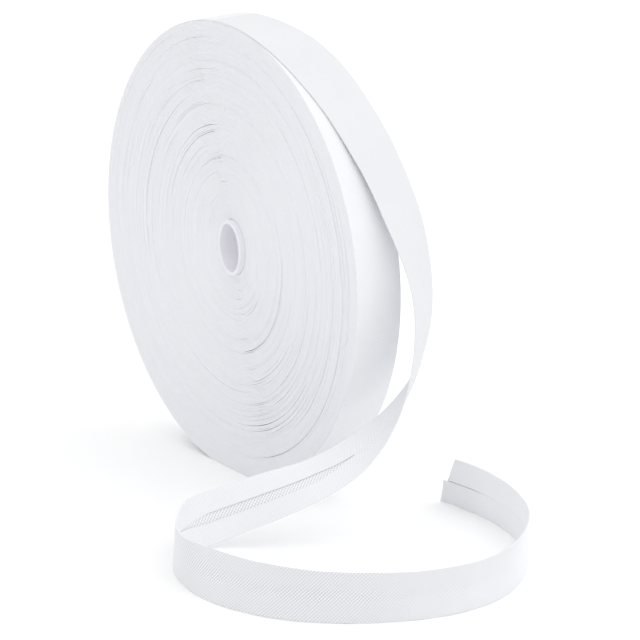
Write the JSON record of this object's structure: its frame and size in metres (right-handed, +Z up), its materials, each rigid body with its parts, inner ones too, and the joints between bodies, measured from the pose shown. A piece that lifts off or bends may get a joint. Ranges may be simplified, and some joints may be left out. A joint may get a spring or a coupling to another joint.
{
  "type": "roll of bias tape",
  "caption": "Roll of folded bias tape on a paper core, standing on its rim, with the loose end hanging down and curled on the surface.",
  "frame": {"origin": "middle of the small flat spot under the roll, on the surface that the roll stands on", "axes": "+Z up; +Y along the roll's axis, away from its best seen face; +X in the plane of the roll, towards the side where the loose end hangs"},
  "size_m": [0.2835, 0.142, 0.1818],
  "materials": {
    "wound_tape": "matt white plain-weave cotton, cut on the bias",
    "loose_tape": "matt white plain-weave cotton, cut on the bias",
    "core_paper": "smooth pale grey paper tube"
  },
  "bodies": {
    "root": {"wound_roll": "wound_tape", "loose_end": "loose_tape", "core_tube": "core_paper"}
  },
  "joints": []
}
